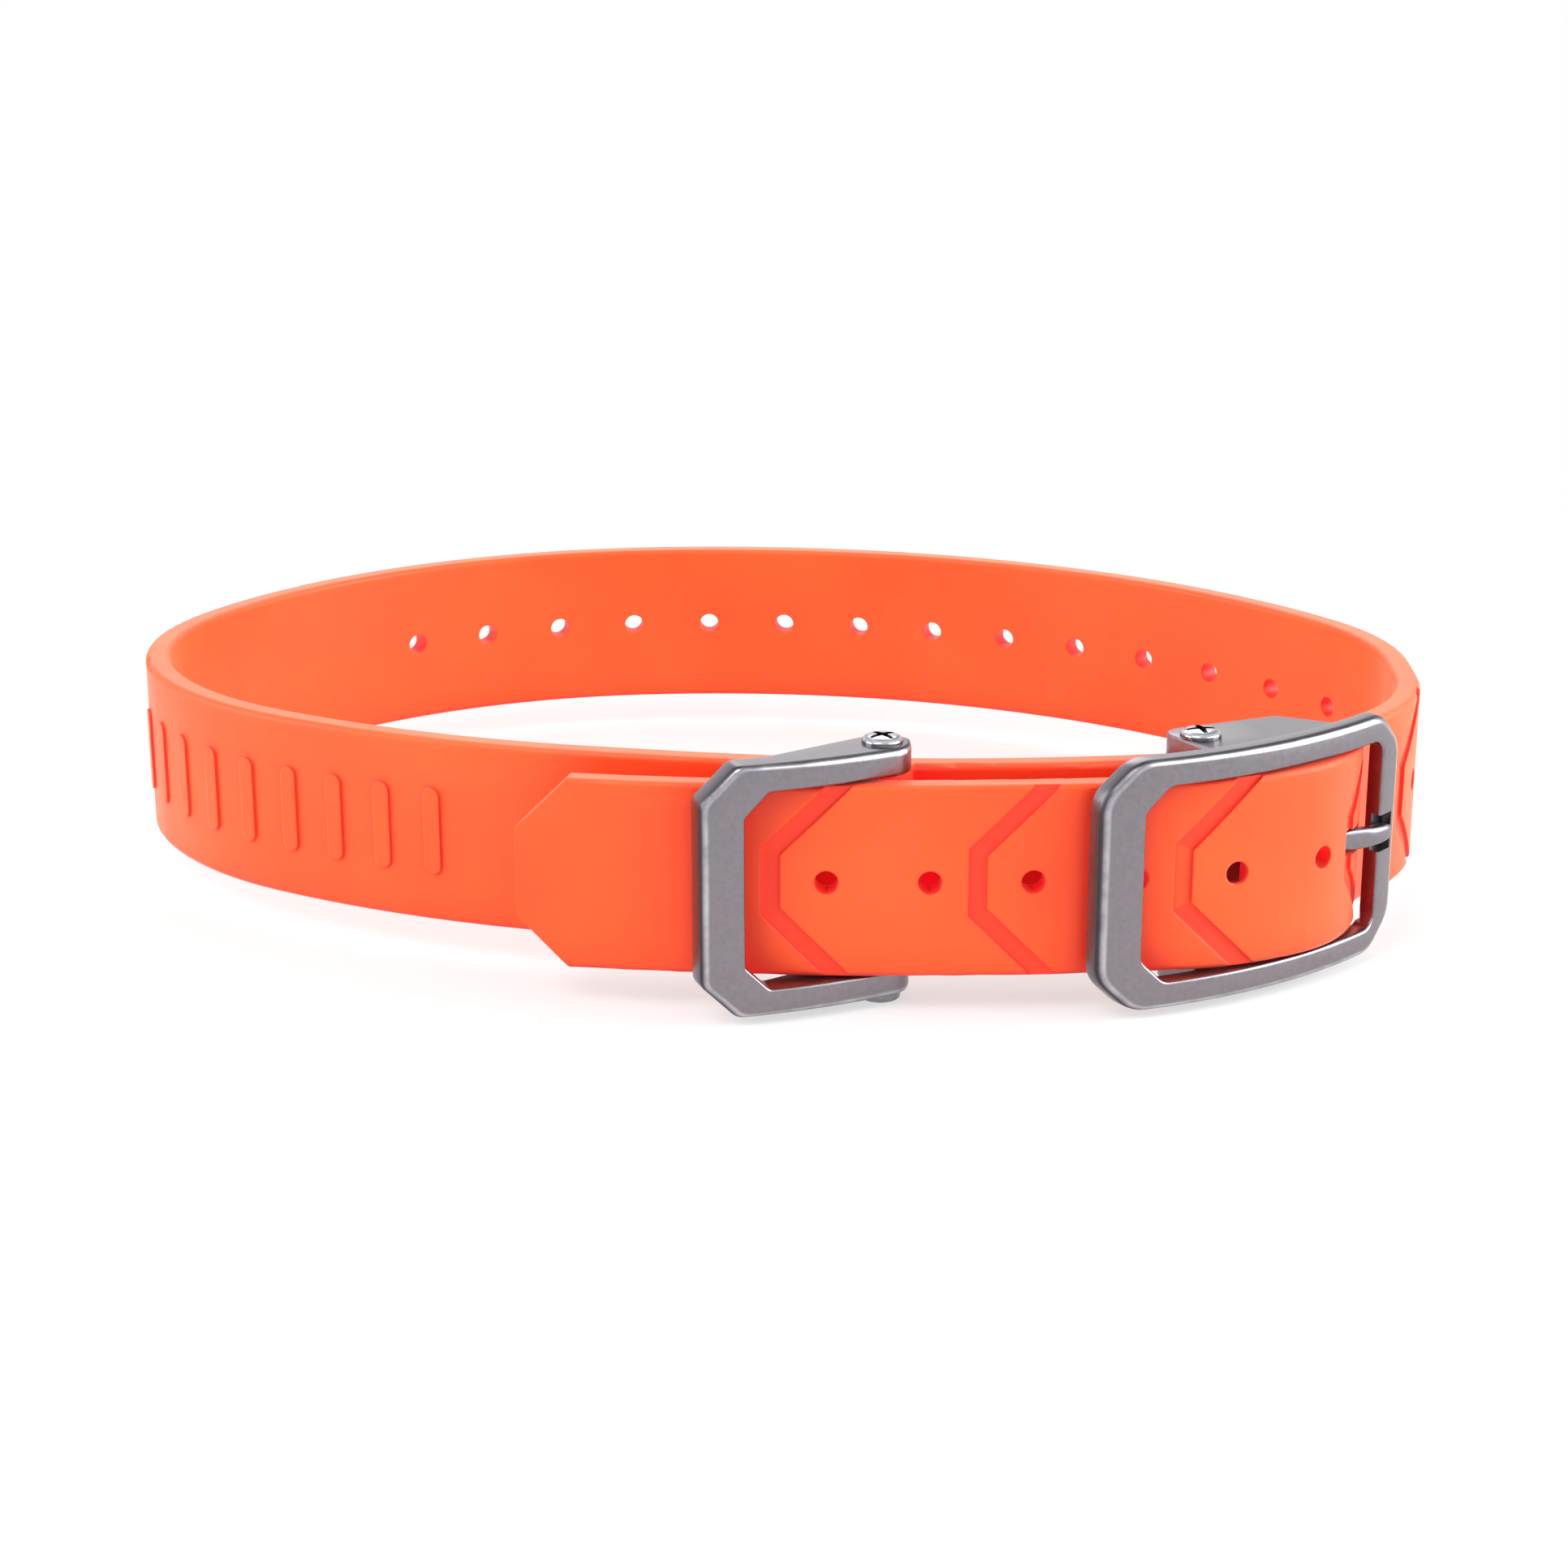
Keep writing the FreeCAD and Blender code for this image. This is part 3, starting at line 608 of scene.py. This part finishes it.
def make_prong():
    """The tongue: tall at its root, low and round at its tip, bent to lie on the right bar."""
    tip_r, tip_gap, knee_reach = 74.85, 0.5, 1.6
    half_width, around, squareness = 0.95, 24, 0.55
    hub_radius, hub_height, hub_chamfer = 2.62, 3.9, 0.3
    bore_radius, bore_height = 1.55, 6.0
    # half the height at distances from the pin, at shares of the knee, and at distances from the end
    root = [(0, 1.85), (2.9, 1.85), (3.8, 3.4), (5, 3.9), (8, 3.9), (10, 3.2), (13, 1.6), (15, 1.5)]
    before_knee = (3, 1.45)
    knee_heights = [(0.1, 1.4), (0.35, 1.3), (0.65, 1.25), (0.9, 1.2)]
    # the last number is the share of the width
    tip_heights = [(1.3, 1.15, 1.0), (0.7, 1.05, 0.97), (0.3, 0.9, 0.8), (0.08, 0.65, 0.5), (0.0, 0.4, 0.25)]

    pin, place = buckle_place()
    knee_x, end_x = WINDOW_RIGHT - KNEE_LEAD, WINDOW_RIGHT + REST_LENGTH - tip_gap
    knee = place.at(knee_x, -on_arc(tip_r, knee_x))
    end = place.at(end_x, -on_arc(tip_r, end_x))
    run = (knee - pin).length / MM
    shank, tip = (knee - pin).normalized(), (end - knee).normalized()
    rows = [(pin + shank * (s * MM), shank, h, half_width)
            for s, h in root + [(run - before_knee[0], before_knee[1])]]
    near, far = knee - shank * (knee_reach * MM), knee + tip * (knee_reach * MM)
    for t, h in knee_heights:
        at = near * (1 - t) ** 2 + knee * 2 * t * (1 - t) + far * t * t
        rows.append((at, shank.lerp(tip, t).normalized(), h, half_width))
    rows += [(end - tip * (left * MM), tip, h, half_width * share) for left, h, share in tip_heights]

    bm = bmesh.new()
    rings = []
    for at, ahead, high, wide in rows:
        side = Vector((-ahead.y, ahead.x, 0))
        ring = []
        for i in range(around):
            c, s = math.cos(math.tau * i / around), math.sin(math.tau * i / around)
            across = math.copysign(abs(c) ** squareness, c) * wide
            up = math.copysign(abs(s) ** squareness, s) * high
            ring.append(bm.verts.new(at + side * (across * MM) + Vector((0, 0, up * MM))))
        rings.append(ring)
    for a, b in zip(rings, rings[1:]):
        bridge(bm, a, b)
    bm.faces.new(rings[0])
    bm.faces.new(rings[-1])
    obj = make_object("prong_casting", bm)
    boolean(obj, post("hub", pin, hub_radius, hub_height, hub_chamfer), "UNION")
    boolean(obj, post("bore", pin, bore_radius, bore_height, 0.0), "DIFFERENCE")
    smooth(obj)
    return obj


# a screw's outline from the middle of its head down: radius, depth below the top, painted shade
SCREW = [(0.0, 0.0, 0.1), (0.7, 0.02, 0.0), (1.4, 0.08, 0.0), (1.8, 0.15, 0.1), (2.05, 0.24, 0.7),
         (2.2, 0.33, 0.2), (2.42, 0.44, 0.0), (2.58, 0.6, 0.3), (2.64, 0.78, 0.9), (2.64, 1.1, 0.6),
         (1.3, 1.1, 0.6), (1.3, 9.0, 0.0), (0.0, 9.0, 0.0)]
# one slot of its cross, wider in the middle
SLOT = [(-1.9, -0.3), (-0.5, -0.45), (0.5, -0.45), (1.9, -0.3),
        (1.9, 0.3), (0.5, 0.45), (-0.5, 0.45), (-1.9, 0.3)]
SLOT_DEPTH = 0.62


def make_screw(name, pin, top, turn):
    """A crowned head with a turned rim and a cross recess, on its shank."""
    bm = bmesh.new()
    painted_dark = bm.verts.layers.float.new("painted_dark")
    rings = []
    for radius, drop, shade in SCREW:
        ring = []
        for i in range(AROUND if radius else 1):
            a = math.tau * i / AROUND
            spot = Vector((math.cos(a) * radius, math.sin(a) * radius, -drop))
            vertex = bm.verts.new(Vector((pin.x, pin.y, top)) + spot * MM)
            # painted shade rings at the turned steps of the head
            vertex[painted_dark] = shade
            ring.append(vertex)
        rings.append(ring)
    for a, b in zip(rings, rings[1:]):
        bridge(bm, a, b)
    obj = make_object(name, bm)
    for quarter in (0, 90):
        long, wide = along(turn + quarter), along(turn + quarter + 90)
        plan = [Vector((pin.x, pin.y, 0)) + (long * x + wide * y) * MM for x, y in SLOT]
        boolean(obj, block("slot", plan, top - SLOT_DEPTH * MM, top + MM), "DIFFERENCE")
    smooth(obj)
    return obj


def make_keeper():
    """The keeper: a bent C, open to the right, whose two arms end in round eyes on the pin."""
    heading, pin_x, pin_y = 21.25, 10.9, -75.517
    outer_r, inner_r = 80.0, 80.0 - 3.8
    left, bar_end, web_end = -29.2 / 2, -9.0, -5.2
    eye_r = 3.7
    eye_right = pin_x + eye_r
    lean = math.atan2(pin_x, -pin_y)
    front_x = pin_x + eye_r * math.sin(lean)
    rear_x, rear_y = pin_x - eye_r * math.sin(lean), pin_y + eye_r * math.cos(lean)

    def eye(x):
        return math.sqrt(max(eye_r ** 2 - (x - pin_x) ** 2, 0.0))

    def front(x):
        return -on_arc(outer_r, x) if x <= front_x else pin_y - eye(x)

    def rear(x):
        if x <= web_end:
            return -on_arc(inner_r, x)
        if x <= rear_x:
            share = (x - web_end) / (rear_x - web_end)
            return -on_arc(inner_r, web_end) * (1 - share) + rear_y * share
        return pin_y + eye(x)

    def outline(x, half, cut, right):
        lower = [(right, -half), (x + cut, -half), (x, cut - half)]
        return lower + [(x, half - cut), (x + cut, half), (right, half)]

    cap = [eye_right - eye_r * (1 - math.cos(math.radians(a))) for a in range(0, 90, 9)]
    arm = cap.pop()
    outer = round_corners(outline(left, CASTING_HALF, OUTER_CUT, arm), radius=2.0, closed=False)
    inner = round_corners(outline(bar_end, WINDOW_HALF, WINDOW_CUT, arm), radius=1.2, closed=False)
    rows = [(Vector((x, -CASTING_HALF)), Vector((x, -WINDOW_HALF))) for x in cap]
    rows += walk(outer, inner, closed=False)
    rows += [(Vector((x, CASTING_HALF)), Vector((x, WINDOW_HALF))) for x in reversed(cap)]
    place = Place(joint_place("keeper_swing"), heading, pin_x, pin_y)
    obj = frame_mesh("keeper_casting", place, rows, closed=False, front=front, rear=rear)
    smooth(obj)
    return obj


# ---- the rebuilt pieces

buckle = make_buckle()
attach(buckle, "buckle")
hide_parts("buckle_frame")
keeper = make_keeper()
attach(keeper, "keeper")
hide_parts("keeper_loop")
prong = make_prong()
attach(prong, "prong")
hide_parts("buckle_prong")
screw_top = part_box("buckle_screw")[1].z
for body, hinge, turn in (("buckle", "buckle_rock", 12), ("keeper", "keeper_swing", 38)):
    screw = make_screw(body + "_screw_head", joint_place(hinge), screw_top, turn)
    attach(screw, body)
    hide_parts(body + "_screw")
    dress(screw, bright_material)
for casting in (buckle, keeper, prong):
    dress(casting, metal_material)


# ---- floor and backdrop: plain and pale as light, white where they are seen

WORLD_LIGHT = 0.6
FLOOR_COLOUR = (0.8, 0.8, 0.8, 1.0)
# the floor's white grows from a share near the middle to all of it, over these distances in metres
NEAR, FAR, NEAR_SHARE = 0.11, 0.3, 0.6


def seen(tree):
    """1 for what the camera sees straight on, in a reflection or through glass."""
    path = add(tree, "ShaderNodeLightPath")
    bent = calc(tree, "MAXIMUM", (path, "Is Glossy Ray"), (path, "Is Transmission Ray"))
    return calc(tree, "MAXIMUM", (path, "Is Camera Ray"), (bent, "Value"))


def make_floor():
    """A pale floor that keeps the object's shadow and turns white away from it."""
    material, tree, shader = new_material("pale_floor")
    shader.inputs["Base Color"].default_value = FLOOR_COLOUR
    shader.inputs["Roughness"].default_value = 0.9
    shader.inputs["Specular IOR Level"].default_value = 0.0
    white = add(tree, "ShaderNodeEmission", inputs={"Strength": 1.0})
    away = add(tree, "ShaderNodeVectorMath", props={"operation": "LENGTH"})
    link(tree, object_place(tree), "Object", away, 0)
    share = add(tree, "ShaderNodeMapRange",
                inputs={"From Min": NEAR, "From Max": FAR, "To Min": NEAR_SHARE, "To Max": 1.0})
    link(tree, away, "Value", share, "Value")
    factor = calc(tree, "MULTIPLY", (share, "Result"), (seen(tree), "Value"))
    blend(tree, "Material Output", (factor, "Value"), (shader, "BSDF"), (white, "Emission"))
    bpy.ops.mesh.primitive_plane_add(size=8.0, location=(0, 0, 0))
    floor = bpy.context.object
    floor.name = "floor"
    floor.data.materials.append(material)


def make_world():
    world = bpy.data.worlds.new("studio")
    bpy.context.scene.world = world
    world.use_nodes = True
    tree = world.node_tree
    light = tree.nodes["Background"]
    light.inputs["Color"].default_value = WHITE
    light.inputs["Strength"].default_value = WORLD_LIGHT
    white = add(tree, "ShaderNodeBackground", inputs={"Color": WHITE, "Strength": 1.0})
    blend(tree, "World Output", (seen(tree), "Value"), (light, "Background"), (white, "Background"))


def lamp(name, place, size, watts):
    """A soft square lamp that faces the middle of the strap."""
    data = bpy.data.lights.new(name, "AREA")
    data.energy = watts
    data.size = size
    obj = bpy.data.objects.new(name, data)
    bpy.context.scene.collection.objects.link(obj)
    obj.location = place
    aim = Vector((0.0, 0.0, middle_z)) - Vector(place)
    obj.rotation_euler = aim.to_track_quat("-Z", "Y").to_euler()


make_floor()
make_world()
lamp("key", (-0.35, -0.5, 0.8), size=0.45, watts=4.6)
lamp("fill", (0.7, -0.4, 0.5), size=0.7, watts=3.2)
lamp("left", (-0.8, -0.15, 0.3), size=0.6, watts=4.6)
lamp("right", (0.8, -0.05, 0.3), size=0.6, watts=7.0)
lamp("back", (0.0, 0.8, 0.8), size=0.7, watts=4.0)


# ---- camera

view = bpy.data.cameras.new("camera")
view.lens = 66.19
view.sensor_width = 36.0
camera = bpy.data.objects.new("camera", view)
camera.location = (0.00163, -0.40963, 0.13633)
camera.rotation_euler = (math.radians(72.88), 0.0, 0.0)
bpy.context.scene.collection.objects.link(camera)
bpy.context.scene.camera = camera
bpy.context.scene.view_settings.view_transform = "Standard"
